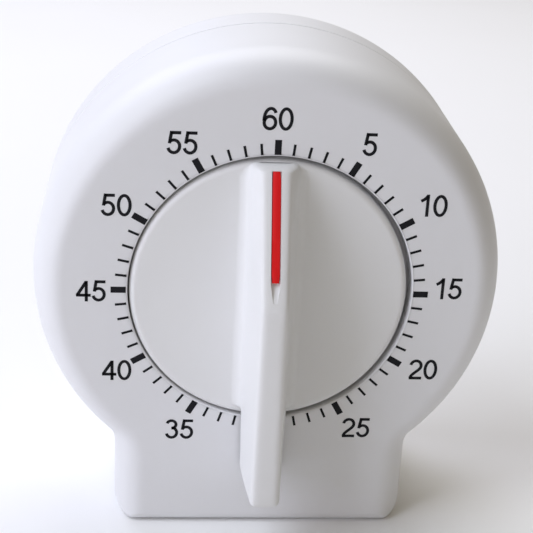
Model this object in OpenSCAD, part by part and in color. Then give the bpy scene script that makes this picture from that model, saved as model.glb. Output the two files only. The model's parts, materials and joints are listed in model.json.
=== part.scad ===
// Sixty minute wind-up kitchen timer with a round drum body on a pedestal foot.
// Frame: origin under the middle of the foot, +Z up, the dial faces -Y.
// Inner pieces are drawn in the dial frame: x right, y up, and a depth d that
// grows from the dial face towards the back of the body.

/* [Body] */
// Radius of the round body
drum_r = 43; // [41:0.1:52]
// Depth of the body from the dial face to the back
body_d = 38; // [37:0.1:46]
// Height of the lowest point of the round body above the table
foot_drop = 6; // [4:0.5:12]
// Width of the foot
base_w = 56; // [50:0.5:68]
// Wall thickness of both shells
wall = 2.2; // [1.6:0.1:2.6]
// Depth of the front shell, from the dial face to the seam
seam_d = 26; // [24:0.5:30]
// Width of the open seam between the shells
seam_gap = 0.3; // [0.2:0.05:0.5]
// Radial size of the rounding at the front edge of the drum
edge_r = 5.5; // [3:0.5:6]
// Depth over which the front edge is rounded
edge_d = 9; // [5:0.5:12]
// Rounding of the rear edge
rear_r = 4; // [2:0.5:5]
// Rounding of the upright front edges of the foot
base_r = 5; // [3:0.5:6]
// Rounding of the lower corners of the foot
foot_r = 3.5; // [2:0.5:5]
// Fillet between the foot and the drum
neck_r = 4.5; // [3:0.5:6]

/* [Knob] */
// Radius of the knob disc
knob_r = 25.1; // [22:0.1:30.2]
// Gap between the disc and the opening in the face
knob_gap = 0.6; // [0.4:0.1:1]
// Height of the lever above the dial face
lever_h = 14.4; // [11:0.2:18]
// How far the lever reaches past the disc
lever_over = 11.5; // [6:0.5:12]
// Width of the lever at the disc
lever_w = 8.4; // [7:0.2:11]
// Width of the lever along its crest
lever_top_w = 4.4; // [2.6:0.2:5]
// Height of the lever at its pointer end
lever_low = 3.4; // [2:0.2:5]
// Width of the red pointer strip
strip_w = 1.5; // [1:0.1:1.8]

/* [Back] */
// Number of sound slots
slot_count = 9; // [5:2:11]
// Width of a sound slot
slot_w = 2.2; // [1.5:0.1:3]
// Radius of the slotted field
slot_field_r = 20; // [15:1:23]

/* [Movement] */
// Radius of the two movement plates
plate_r = 27.5; // [27.5:0.1:28.5]
// Thickness of a plate
plate_t = 1; // [0.8:0.1:1.2]
// Depth of the front face of the front plate
plate_d = 9; // [9:0.1:10]
// Room between the plates
plate_gap = 13; // [13:0.1:15.6]
// Radius of the main arbor
arbor_r = 2.5; // [2:0.1:3]
// Radius of the small arbors
pin_r = 0.8; // [0.6:0.05:1]
// Radial clearance of a turning fit
fit = 0.05; // [0.02:0.01:0.09]

/* [Bell] */
// Outer radius of the bell
bell_r = 22; // [20:0.1:26.4]
// Depth of the bell cup
bell_h = 7.2; // [6.6:0.1:7.4]
// Wall thickness of the bell
bell_t = 1.2; // [0.8:0.1:1.4]

/* [Hidden] */

$fn = 96;
SMALL_FN = 32;
eps = 0.01;

// Body
dial_h = drum_r + foot_drop;
face_y = -body_d / 2;
half_w = base_w / 2;
in_r = drum_r - wall;
neck_sink = 0.4;
neck_x = half_w + neck_r - neck_sink;
neck_y = -sqrt((drum_r + neck_r - neck_sink) ^ 2 - neck_x ^ 2);
flat_r = drum_r - edge_r;
foot_sink = 0.4;
base_top = dial_h - sqrt(flat_r ^ 2 - (half_w - base_r) ^ 2) + foot_sink;
lip_t = 1.4;
lip_d = 1.8;
lip_clear = 0.1;

// Knob recess
open_r = knob_r + knob_gap;
well_wall = 1.8;
well_floor_d = 4.6;
well_floor_t = 1.6;
well_back_d = well_floor_d + well_floor_t;
knob_t = 2;
skirt_d = 3.8;
skirt_t = 1.8;
rim_r = 1.2;
hub_r = 5;
hub_d = 4.2;
hub_hole_r = hub_r + 0.6;
bore_h = 6.5;
clip_t = 0.7;
clip_d = 3.4;
lever_end = knob_r + lever_over;
lever_clear = 1;
lever_top_y = knob_r - 0.7;
lever_peak_y = 2.6;
lever_slope = atan((lever_h - lever_low) / (lever_top_y - lever_peak_y));
groove_w = strip_w + 0.1;
groove_h = 1;
strip_h = 0.7;
strip_y0 = 7;
strip_y1 = lever_top_y - 0.4;
groove_y0 = 4;
groove_y1 = strip_y1 + 0.1;

// Movement levels
rear_plate_d = plate_d + plate_t + plate_gap;
rear_back_d = rear_plate_d + plate_t;
shake = 0.2;
spring_d = [plate_d + plate_t + 0.6, plate_d + plate_t + 4.6];
second_d = [15.2, 16];
balance_d = [15.4, 16.4];
hair_d = [16.9, 17.5];
ratchet_d = [17, 18];
main_d = [18.2, 19.2];
pinion1_d = [17.8, 19.6];
pinion2_d = [14.8, 16.4];
third_d = [20, 20.7];
pinion3_d = [19.7, 21];
cam_d = [20.2, 21.2];
star_d = [20.2, 21];
hammer_pallet_d = [21.3, 21.9];
pallet_d = [20.9, 21.6];
escape_d = [21.9, 22.5];

// Gear train: teeth of the wheels and pinions, and the modules of the three stages
wheel_teeth = 48;
pinion_teeth = 8;
stage_m = [0.5, 0.42, 0.375];

// Gear proportions, in modules and in parts of a tooth pitch
wheel_add = 1;
wheel_ded = 1.2;
wheel_root = 0.6;
wheel_tip = 0.2;
pinion_add = 0.7;
pinion_ded = 1.3;
pinion_root = 0.36;
pinion_tip = 0.28;
tooth_sum = (wheel_teeth + pinion_teeth) / 2;

// Arbor places
second_dir = 150;
third_dir = 60;
escape_dir = -10;
pallet_dir = -25;
balance_dir = -65;
strike_dir = second_dir + 14 * 360 / wheel_teeth;
second_p = polar(stage_m[0] * tooth_sum, second_dir);
third_p = second_p + polar(stage_m[1] * tooth_sum, third_dir);
escape_p = third_p + polar(stage_m[2] * tooth_sum, escape_dir);
escape_r = 5;
escape_teeth = 15;
pallet_p = escape_p + polar(escape_r + 2, pallet_dir);
balance_p = pallet_p + polar(9, balance_dir);
strike_p = polar(stage_m[0] * tooth_sum, strike_dir);
star_r = 5.5;
star_teeth = 10;
star_pin_gap = 0.7;
star_pin_r = 0.4;
hammer_side = -20;
hammer_p = strike_p + polar(star_r + 3.5, hammer_side);

// Every arbor that runs in both plates, and the radius of its pivots
arbor_at = [second_p, third_p, escape_p, pallet_p, balance_p, strike_p];
pivot_r = 0.5;

// Escapement and alarm
pallet_spread = 35;
pallet_pin_r = 0.35;
pallet_gap = 0.3;
balance_r = 8;
balance_rim = 1.4;
hair_r = 4.12;
hair_t = 0.12;
cam_r = 6;
trip_p = [15.5, -6];
nose_r = 0.7;
nose_gap = 0.15;
nose_p = polar(cam_r + nose_r + nose_gap, -10);
trip_tail_p = [10.2, -12.6];

// Mainspring
post_dir = 320;
post_p = polar(13, post_dir);
spring_t = 0.35;
spring_turns = 5;

// Winding
ratchet_r = 5.5;
click_p = polar(8.6, 40);
click_nose_p = polar(6.4, 68);
click_tail_p = polar(9.4, 18);

// Frame fasteners
pillar_at = [for (a = [5, 85, 200, 290]) polar(plate_r - 2, a)];
pillar_r = 1.6;
stud_r = 1.2;
stud_p = balance_p + polar(hair_r + stud_r - 0.6, balance_dir);
nut_r = 2.8;
nut_t = 1.6;
ear_r = 3.2;
ear_screw_r = 1.2;
ear_head_r = 2.4;
ear_boss_r = 3;
ear_at = [for (a = [90, 210, 330]) polar(open_r + well_wall + ear_boss_r + 0.5, a)];

// Cover
slot_pitch = 2 * slot_field_r / slot_count;

// Cover fasteners
boss_r = 3.4;
cover_boss_r = boss_r + 0.8;
boss_p = drum_r - 5.8;
boss_at = concat([for (a = [45, 135]) polar(boss_p, a)],
    [for (s = [-1, 1]) [s * (half_w - 5.5), -drum_r + 5]]);
screw_r = 1.5;
screw_clear = 0.2;
head_r = 2.9;
head_clear = 0.3;
head_t = 2;
head_d = body_d - 5;
screw_tip_d = 15;

// Bell
bell_p = [0, -7];
bell_mouth_d = rear_back_d + 2.6;
bell_crown_d = bell_mouth_d + bell_h;
post_r = 3;
bell_screw_r = 1.5;
bell_head_r = 3;
bell_head_t = 1.1;
head_ball_r = 1.8;
hammer_rest_gap = 1;
hammer_dir = 20;
hammer_u = polar(1, hammer_dir);
hammer_rel = hammer_p - bell_p;
hammer_reach = bell_r - bell_t - head_ball_r - hammer_rest_gap;
hammer_b = hammer_rel * hammer_u;
hammer_l = -hammer_b + sqrt(hammer_b ^ 2 - hammer_rel * hammer_rel + hammer_reach ^ 2);
hammer_head_p = hammer_p + hammer_l * hammer_u;
hammer_end_p = hammer_head_p - 1.2 * hammer_u;
hammer_arm_d = [bell_mouth_d + 1.4, bell_mouth_d + 2.4];

// A point at radius r and angle a
function polar(r, a) = [r * cos(a), r * sin(a)];

// Quarter of an ellipse in (r, z): from the end face out to the side
function edge_arc(r, rr, rd, d) =
    [for (a = [90:-10:0]) [r - rr + rr * cos(a), -(d + rd - rd * sin(a))]];

// Arc of points about c, from angle a0 to a1
function arc(c, r, a0, a1, n) = [for (i = [0:n]) c + polar(r, a0 + (a1 - a0) * i / n)];

// Outline of a wheel with straight-sided teeth; one tooth points along phase
function gear_outline(teeth, m, add, ded, root, tip, phase) = let(pa = 360 / teeth, rp = teeth * m / 2)
    [for (i = [0:teeth - 1]) for (k = [0:3]) let(
        w = (k == 0 || k == 3) ? root : tip,
        r = (k == 0 || k == 3) ? rp - ded * m : rp + add * m,
        s = k < 2 ? -1 : 1) polar(r, phase + (i + s * w / 2) * pa)];

// Outline of a wheel with pointed teeth that lean by lean parts of a pitch
function saw_outline(teeth, root, tip, lean, phase) = let(pa = 360 / teeth)
    [for (i = [0:teeth - 1]) for (k = [0:2])
        polar(k == 1 ? tip : root, phase + (i + (k == 1 ? lean : k * 0.42)) * pa)];

// A flat spiral strip from radius r0 to r1 over the given turns
function spiral_side(r0, r1, turns, a0, n) =
    [for (i = [0:n * turns]) polar(r0 + (r1 - r0) * i / (n * turns), a0 + 360 * i / n)];
function reverse(p) = [for (i = [len(p) - 1:-1:0]) p[i]];
module spiral(r0, r1, t, turns, a0, n) polygon(concat(spiral_side(r0, r1, turns, a0, n),
    reverse(spiral_side(r0 + t, r1 + t, turns, a0, n))));

// The dial frame: local z points out of the face, so depth d is at z = -d
module dial() translate([0, face_y, dial_h]) rotate([90, 0, 0]) children();
module slab(d0, d1) translate([0, 0, -d1]) linear_extrude(d1 - d0) children();
module at(p) translate([p[0], p[1], 0]) children();
module rod(r, d0, d1) slab(d0, d1) circle(r, $fn = SMALL_FN);
module ring2d(r1, r0) difference() {
    circle(r1);
    circle(r0);
}

// A flat arm with round ends about p and q, from depth d[0] to d[1]
module arm(p, q, rp, rq, d) {
    a = atan2(q[1] - p[1], q[0] - p[0]);
    slab(d[0], d[1]) polygon(concat(arc(p, rp, a + 90, a + 270, 12), arc(q, rq, a - 90, a + 90, 8)));
}

// ---- Casing ----

// Upright block of the foot; cut is the distance inside the outer skin
module foot_block(d0, d1, cut, front_r, back_r) {
    x = half_w - cut;
    y0 = face_y + d0;
    y1 = face_y + d1;
    plan = concat(
        front_r > 0 ? arc([-x + front_r, y0 + front_r], front_r, 180, 270, 6) : [[-x, y0]],
        front_r > 0 ? arc([x - front_r, y0 + front_r], front_r, 270, 360, 6) : [[x, y0]],
        back_r > 0 ? arc([x - back_r, y1 - back_r], back_r, 0, 90, 6) : [[x, y1]],
        back_r > 0 ? arc([-x + back_r, y1 - back_r], back_r, 90, 180, 6) : [[-x, y1]]);
    r = foot_r - min(cut, foot_r - 1);
    front = concat([[-x, base_top]], arc([-x + r, cut + r], r, 180, 270, 6),
        arc([x - r, cut + r], r, 270, 360, 6), [[x, base_top]]);
    intersection() {
        linear_extrude(base_top) polygon(plan);
        translate([0, body_d, 0]) rotate([90, 0, 0]) linear_extrude(2 * body_d) polygon(front);
    }
}

// Concave necks between the drum and the foot
module necks(d0, d1) dial() for (s = [0, 1]) mirror([s, 0, 0]) slab(d0, d1)
    polygon(concat([[half_w - 2, neck_y]],
        arc([neck_x, neck_y], neck_r, 180, atan2(-neck_y, -neck_x), 6),
        [[half_w - 2, neck_y + neck_r + 1]]));

// Room for the screw bosses: a disc of radius r and the width between the foot's walls
module inside2d(r) {
    circle(r);
    translate([-half_w + 1, -drum_r]) square([base_w - 2, drum_r - 13]);
}

module front_shell() color("white") {
    difference() {
        union() {
            dial() rotate_extrude() polygon(concat([[0, 0]], edge_arc(drum_r, edge_r, edge_d, 0),
                [[drum_r, -seam_d], [0, -seam_d]]));
            foot_block(0, seam_d, 0, base_r, 0);
            necks(edge_d / 2, seam_d);
        }
        dial() rotate_extrude() polygon(concat([[0, -wall]], edge_arc(in_r, edge_r, edge_d, wall),
            [[in_r, -seam_d - 1], [0, -seam_d - 1]]));
        foot_block(wall, seam_d + 1, wall, base_r - wall, 0);
        dial() slab(-1, wall + 1) circle(open_r);
    }
    dial() difference() {
        union() {
            slab(wall / 2, well_back_d) ring2d(open_r + well_wall, open_r);
            slab(well_floor_d, well_back_d) circle(open_r + 1);
            for (p = ear_at) at(p) rod(ear_boss_r, wall / 2, plate_d);
            slab(wall + 4, seam_d) intersection() {
                for (p = boss_at) at(p) circle(boss_r, $fn = SMALL_FN);
                inside2d(in_r + wall / 2);
            }
        }
        slab(wall, well_back_d + 1) circle(hub_hole_r);
        for (p = ear_at) at(p) rod(ear_screw_r, wall + 2, plate_d + 1);
        for (p = boss_at) at(p) rod(screw_r, screw_tip_d - 1, seam_d + 1);
    }
}

module rear_cover() color("whitesmoke") {
    d0 = seam_d + seam_gap;
    difference() {
        union() {
            dial() rotate_extrude() polygon(concat([[0, -d0], [drum_r, -d0]],
                [for (p = reverse(edge_arc(drum_r, rear_r, rear_r, 0))) [p[0], -body_d - p[1]]],
                [[0, -body_d]]));
            foot_block(d0, body_d, 0, 0, rear_r);
            necks(d0, body_d - rear_r / 2);
        }
        dial() slab(d0 - 1, body_d - wall) circle(in_r - 1);
        foot_block(d0 - 1, body_d - wall, wall, 0, rear_r - wall);
        dial() {
            slab(body_d - wall - 1, body_d + 1) intersection() {
                circle(slot_field_r);
                for (i = [0:slot_count - 1])
                    translate([(i - (slot_count - 1) / 2) * slot_pitch - slot_w / 2, -slot_field_r])
                        square([slot_w, 2 * slot_field_r]);
            }
            for (p = boss_at) at(p) rod(head_r + head_clear, head_d, body_d + 1);
        }
    }
    dial() difference() {
        union() {
            slab(seam_d - lip_d, d0 + 1) difference() {
                ring2d(in_r - lip_clear, in_r - lip_clear - lip_t);
                for (p = boss_at) at(p) circle(boss_r + 0.4);
                translate([-half_w, -drum_r]) square([base_w, drum_r - sqrt(in_r ^ 2 - half_w ^ 2) + 2]);
            }
            slab(seam_d, body_d - wall / 2) intersection() {
                for (p = boss_at) at(p) circle(cover_boss_r, $fn = SMALL_FN);
                inside2d(in_r - 0.5);
            }
        }
        for (p = boss_at) at(p) {
            rod(screw_r + screw_clear, seam_d - 1, body_d);
            rod(head_r + head_clear, head_d, body_d + 1);
        }
    }
}

module cover_screws() color("silver") dial() for (p = boss_at) at(p) {
    rod(screw_r, screw_tip_d, head_d + eps);
    difference() {
        rod(head_r, head_d, head_d + head_t);
        rotate(20) for (a = [0, 90]) rotate(a) slab(head_d + 0.8, head_d + head_t + 1)
            square([0.8, 3.6], center = true);
    }
}

// ---- Knob ----

// Height of the crest at y, measured square to the dial face
function crest(y) = lever_low + (lever_top_y - y) * tan(lever_slope);

// A bar lying in the sloped crest: from y0 to y1, its top face sunk by sink
module crest_bar(w, h, y0, y1, sink) {
    l = (y1 - y0) / cos(lever_slope);
    translate([0, y1, crest(y1)]) rotate([-lever_slope, 0, 0])
        translate([-w / 2, -l, -h - sink]) cube([w, l, h]);
}

module lever() intersection() {
    rotate([90, 0, 90]) linear_extrude(lever_w + 2, center = true) polygon([
        [lever_top_y, -1], [lever_top_y, lever_low], [lever_peak_y, lever_h], [-lever_end + 1.5, lever_h],
        [-lever_end, lever_h - 1.5], [-lever_end, lever_clear + 1], [-lever_end + 1, lever_clear],
        [-knob_r + 1.5, lever_clear], [-knob_r + 1.5, -1]]);
    rotate([90, 0, 0]) linear_extrude(2 * lever_end, center = true) polygon([
        [-lever_w / 2, -1], [-lever_w / 2, 0.5], [-lever_top_w / 2 - 0.5, lever_h - 0.6],
        [-lever_top_w / 2, lever_h], [lever_top_w / 2, lever_h], [lever_top_w / 2 + 0.5, lever_h - 0.6],
        [lever_w / 2, 0.5], [lever_w / 2, -1]]);
}

module d_bore2d(r) difference() {
    circle(r, $fn = SMALL_FN);
    translate([-r, r * 0.7]) square([2 * r, r]);
}

module dial_knob() color("whitesmoke") dial() difference() {
    union() {
        rotate_extrude() polygon(concat([[0, 0]], edge_arc(knob_r, rim_r, rim_r, 0),
            [[knob_r, -skirt_d], [knob_r - skirt_t, -skirt_d], [knob_r - skirt_t, -knob_t],
            [hub_r, -knob_t], [hub_r, -hub_d], [0, -hub_d]]));
        lever();
    }
    slab(-bore_h, hub_d + 1) d_bore2d(arbor_r + fit);
    crest_bar(groove_w, groove_h + 2, groove_y0, groove_y1, -2);
}

module pointer_strip() color("red") dial()
    crest_bar(strip_w, strip_h, strip_y0, strip_y1, groove_h - strip_h - eps);

module knob_clip() color("silver") dial() slab(clip_d - 0.8, clip_d) difference() {
    ring2d(hub_r + clip_t, hub_r);
    translate([hub_r - 1, -0.6]) square([3, 1.2]);
}

// ---- Movement frame ----

module front_plate() color("goldenrod") dial() difference() {
    union() {
        slab(plate_d, plate_d + plate_t) circle(plate_r);
        for (p = ear_at) arm(p * 0.8, p, ear_r, ear_r, [plate_d, plate_d + plate_t]);
    }
    slab(plate_d - 1, plate_d + plate_t + 1) {
        circle(arbor_r + fit, $fn = SMALL_FN);
        for (p = concat(arbor_at, [hammer_p])) at(p) circle(pivot_r + fit, $fn = SMALL_FN);
        for (p = concat(pillar_at, [post_p])) at(p) circle(stud_r, $fn = SMALL_FN);
        for (p = ear_at) at(p) circle(ear_screw_r + 0.1, $fn = SMALL_FN);
    }
}

module rear_plate() color("goldenrod") dial() slab(rear_plate_d, rear_back_d) difference() {
    circle(plate_r);
    circle(pivot_r + 1 + fit, $fn = SMALL_FN);
    for (p = arbor_at) at(p) circle(pivot_r + fit, $fn = SMALL_FN);
    at(hammer_p) circle(pin_r + fit, $fn = SMALL_FN);
    for (p = concat(pillar_at, [trip_p, stud_p])) at(p) circle(stud_r, $fn = SMALL_FN);
}

module plate_pillars() color("silver") dial() for (p = pillar_at) at(p) {
    rod(stud_r, plate_d, rear_back_d + nut_t + 0.4);
    rod(pillar_r, plate_d + plate_t, rear_plate_d);
}

module pillar_nuts() color("silver") dial() for (p = pillar_at) at(p)
    slab(rear_back_d, rear_back_d + nut_t) difference() {
        circle(nut_r, $fn = 6);
        circle(stud_r, $fn = SMALL_FN);
    }

module movement_screws() color("silver") dial() for (p = ear_at) at(p) {
    rod(ear_screw_r, wall + 2.4, plate_d + plate_t + eps);
    difference() {
        rod(ear_head_r, plate_d + plate_t, plate_d + plate_t + 1.4);
        slab(plate_d + plate_t + 0.8, plate_d + plate_t + 2) square([0.7, 6], center = true);
    }
}

// ---- Winding group ----

module main_arbor() color("silver") dial() {
    slab(-bore_h + 0.4, 8) d_bore2d(arbor_r);
    rod(arbor_r, 8, rear_plate_d - shake / 2);
    rod(pivot_r + 1, rear_plate_d - 1, rear_back_d + 0.4);
}

module arbor_ring() color("dimgray") dial() slab(plate_d - 0.8, plate_d - 0.1) difference() {
    ring2d(arbor_r + 2, arbor_r);
    translate([0, -0.8]) square([6, 1.6]);
}

module mainspring() color("steelblue") dial() {
    inner = arbor_r + 0.6;
    outer = norm(post_p) - stud_r - 1.3;
    slab(spring_d[0], spring_d[1]) spiral(inner, outer, spring_t, spring_turns, post_dir, 24);
    rotate(post_dir) slab(spring_d[0] + 0.5, spring_d[1] - 0.5)
        translate([outer, -0.4]) square([norm(post_p) - stud_r - outer - 0.1, 0.8]);
}

module mainspring_post() color("silver") dial() at(post_p) rod(stud_r, plate_d, spring_d[1] + 0.2);

module ratchet_wheel() color("silver") dial() slab(ratchet_d[0], ratchet_d[1]) difference() {
    polygon(saw_outline(12, ratchet_r - 1, ratchet_r, 0.38, 58));
    circle(arbor_r, $fn = SMALL_FN);
}

// A train wheel with four spokes
module train_wheel2d(m, phase, bore) difference() {
    polygon(gear_outline(wheel_teeth, m, wheel_add, wheel_ded, wheel_root, wheel_tip, phase));
    circle(bore, $fn = SMALL_FN);
    rim = wheel_teeth * m / 2 - wheel_ded * m - 1;
    for (a = [45:90:359]) intersection() {
        ring2d(rim, bore + 2);
        rotate(a) translate([1, 1]) square([rim, rim]);
    }
}

module main_wheel() color("gold") dial() slab(main_d[0], main_d[1]) difference() {
    polygon(gear_outline(wheel_teeth, stage_m[0], wheel_add, wheel_ded, wheel_root, wheel_tip, second_dir));
    circle(arbor_r, $fn = SMALL_FN);
    at(click_p) circle(pin_r, $fn = SMALL_FN);
}

module click() color("silver") dial() difference() {
    union() {
        arm(click_p, click_nose_p, 1.5, 0.45, ratchet_d);
        arm(click_p, click_tail_p, 1.5, 0.5, ratchet_d);
    }
    at(click_p) rod(pin_r + fit, ratchet_d[0] - 1, ratchet_d[1] + 1);
}

module click_rivet() color("silver") dial() at(click_p) {
    rod(pin_r, ratchet_d[0] - 0.1, main_d[1]);
    rod(pin_r + 0.8, ratchet_d[0] - 0.4, ratchet_d[0] - 0.1);
}

module click_spring() color("steelblue") dial() {
    at(polar(9.2, -50)) rod(0.9, ratchet_d[0] + 0.2, main_d[0]);
    slab(ratchet_d[0] + 0.2, ratchet_d[1] - 0.2)
        polygon(concat(arc([0, 0], 9.35, -50, 0, 8), arc([0, 0], 9.05, 0, -50, 8)));
}

// ---- Train arbors ----

module arbor(p) at(p) {
    rod(pivot_r, plate_d, rear_back_d);
    rod(pin_r, plate_d + plate_t + shake, rear_plate_d - shake);
}

// A pinion whose tooth gap faces back along dir, to the wheel that drives it
module pinion(p, m, dir, d) at(p) slab(d[0], d[1]) polygon(gear_outline(pinion_teeth, m,
    pinion_add, pinion_ded, pinion_root, pinion_tip, dir + 180 + 180 / pinion_teeth));

module second_arbor() color("silver") dial() {
    arbor(second_p);
    pinion(second_p, stage_m[0], second_dir, pinion1_d);
}

module third_arbor() color("silver") dial() {
    arbor(third_p);
    pinion(third_p, stage_m[1], third_dir, pinion2_d);
}

module escape_arbor() color("silver") dial() {
    arbor(escape_p);
    pinion(escape_p, stage_m[2], escape_dir, pinion3_d);
}

module strike_arbor() color("silver") dial() {
    arbor(strike_p);
    pinion(strike_p, stage_m[0], strike_dir, pinion1_d);
}

module second_wheel() color("gold") dial() at(second_p) slab(second_d[0], second_d[1])
    train_wheel2d(stage_m[1], third_dir, pin_r);

module third_wheel() color("gold") dial() at(third_p) slab(third_d[0], third_d[1])
    train_wheel2d(stage_m[2], escape_dir, pin_r);

// ---- Escapement ----

module escape_wheel() color("gold") dial() at(escape_p) slab(escape_d[0], escape_d[1]) difference() {
    polygon(saw_outline(escape_teeth, escape_r - 1.3, escape_r, 0.1, pallet_dir));
    circle(pin_r, $fn = SMALL_FN);
}

function pallet_pin(s) =
    escape_p + polar(escape_r + pallet_gap + pallet_pin_r, pallet_dir + s * pallet_spread);

module pallet_arbor() color("silver") dial() arbor(pallet_p);

module pallet_lever() color("silver") dial() {
    difference() {
        union() {
            for (s = [-1, 1]) arm(pallet_p, pallet_pin(s), 1.6, 0.7, pallet_d);
            arm(pallet_p, pallet_p + polar(6, balance_dir), 1.4, 0.6, pallet_d);
        }
        at(pallet_p) rod(pin_r, pallet_d[0] - 1, pallet_d[1] + 1);
    }
    for (s = [-1, 1]) at(pallet_pin(s)) rod(pallet_pin_r, pallet_d[1] - 0.3, escape_d[1]);
}

module balance_staff() color("silver") dial() {
    arbor(balance_p);
    at(balance_p) rod(1.6, third_d[0], third_d[1]);
}

module balance_wheel() color("goldenrod") dial() at(balance_p) difference() {
    union() {
        slab(balance_d[0], balance_d[1]) ring2d(balance_r, balance_r - balance_rim);
        rod(1.8, balance_d[0], balance_d[1]);
        slab(balance_d[0] + 0.1, balance_d[1] - 0.1) square([2 * balance_r - 2, 1.2], center = true);
    }
    rod(pin_r, balance_d[0] - 1, balance_d[1] + 1);
}

module hairspring() color("steelblue") dial() at(balance_p) slab(hair_d[0], hair_d[1])
    spiral(pin_r + 0.5, hair_r - hair_t, hair_t, 4, balance_dir, 18);

module hairspring_stud() color("silver") dial() at(stud_p) {
    rod(0.6, hair_d[0], rear_plate_d);
    rod(stud_r, rear_plate_d - 0.4, rear_back_d);
}

// ---- Alarm ----

module trip_cam() color("silver") dial() slab(cam_d[0], cam_d[1]) difference() {
    circle(cam_r);
    circle(arbor_r, $fn = SMALL_FN);
    at(nose_p) circle(nose_r + 1);
}

module trip_lever() color("silver") dial() difference() {
    union() {
        arm(trip_p, nose_p, 1.9, nose_r, cam_d);
        arm(trip_p, trip_tail_p, 1.9, 0.6, cam_d);
    }
    at(trip_p) rod(pin_r + fit, cam_d[0] - 1, cam_d[1] + 1);
}

module trip_pin() color("silver") dial() at(trip_p) {
    rod(pin_r, cam_d[0] - 0.5, rear_plate_d);
    rod(pin_r + 0.8, cam_d[0] - 0.6, cam_d[0] - 0.1);
    rod(stud_r, cam_d[1] + 0.1, rear_back_d);
}

module trip_spring() color("steelblue") dial() at(trip_p) slab(cam_d[1] + 0.3, cam_d[1] + 0.6)
    spiral(stud_r + 0.3, 2.8, 0.15, 3, 160, 18);

module strike_wheel() color("gold") dial() at(strike_p) slab(star_d[0], star_d[1]) difference() {
    polygon(saw_outline(star_teeth, star_r - 1.8, star_r, 0.21, 0));
    circle(pin_r, $fn = SMALL_FN);
}

function hammer_pin(s) =
    strike_p + polar(star_r + star_pin_gap + star_pin_r, hammer_side + s * 24);

module hammer_arbor() color("silver") dial() at(hammer_p) {
    rod(pivot_r, plate_d, plate_d + 2);
    rod(pin_r, plate_d + plate_t + shake, hammer_arm_d[1] + 0.2);
}

module hammer_pallet() color("silver") dial() {
    difference() {
        for (s = [-1, 1]) arm(hammer_p, hammer_pin(s), 1.6, 0.7, hammer_pallet_d);
        at(hammer_p) rod(pin_r, hammer_pallet_d[0] - 1, hammer_pallet_d[1] + 1);
    }
    for (s = [-1, 1]) at(hammer_pin(s)) rod(star_pin_r, star_d[0], hammer_pallet_d[0] + 0.3);
}

module hammer_arm() color("silver") dial() difference() {
    arm(hammer_p, hammer_end_p, 1.6, 0.6, hammer_arm_d);
    at(hammer_p) rod(pin_r, hammer_arm_d[0] - 1, hammer_arm_d[1] + 1);
}

module hammer_head() color("gray") dial() difference() {
    at(hammer_head_p) rod(head_ball_r, hammer_arm_d[0] - 0.8, hammer_arm_d[1] + 0.8);
    arm(hammer_p, hammer_end_p, 1.6, 0.6, hammer_arm_d);
}

module bell_gong() color("silver") dial() at(bell_p) rotate_extrude() {
    m = -bell_mouth_d;
    c = -bell_crown_d;
    polygon([[bell_screw_r + 0.1, c], [bell_screw_r + 0.1, c + bell_t], [bell_r - 4, c + bell_t],
        [bell_r - bell_t - 0.9, c + bell_t + 1.6], [bell_r - bell_t, c + 4.4],
        [bell_r - bell_t, m], [bell_r, m],
        [bell_r, c + 4], [bell_r - 1, c + 1], [bell_r - 3.5, c]]);
}

module bell_post() color("silver") dial() at(bell_p) difference() {
    rod(post_r, rear_back_d, bell_crown_d - bell_t);
    rod(bell_screw_r, rear_back_d + 2, bell_crown_d);
}

module bell_screw() color("silver") dial() at(bell_p) {
    rod(bell_screw_r, rear_back_d + 2.2, bell_crown_d + eps);
    difference() {
        rod(bell_head_r, bell_crown_d, bell_crown_d + bell_head_t);
        slab(bell_crown_d + 0.6, bell_crown_d + 2) square([0.8, 8], center = true);
    }
}

front_shell();
rear_cover();
cover_screws();
dial_knob();
pointer_strip();
knob_clip();
front_plate();
rear_plate();
plate_pillars();
pillar_nuts();
movement_screws();
main_arbor();
arbor_ring();
mainspring();
mainspring_post();
ratchet_wheel();
main_wheel();
click();
click_rivet();
click_spring();
second_arbor();
second_wheel();
third_arbor();
third_wheel();
escape_arbor();
escape_wheel();
pallet_arbor();
pallet_lever();
balance_staff();
balance_wheel();
hairspring();
hairspring_stud();
trip_cam();
trip_lever();
trip_pin();
trip_spring();
strike_arbor();
strike_wheel();
hammer_arbor();
hammer_pallet();
hammer_arm();
hammer_head();
bell_gong();
bell_post();
bell_screw();
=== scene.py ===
import json
import math

import bmesh
import bpy
from bpy.props import FloatProperty, FloatVectorProperty, IntProperty, PointerProperty
from mathutils import Matrix, Vector

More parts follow.
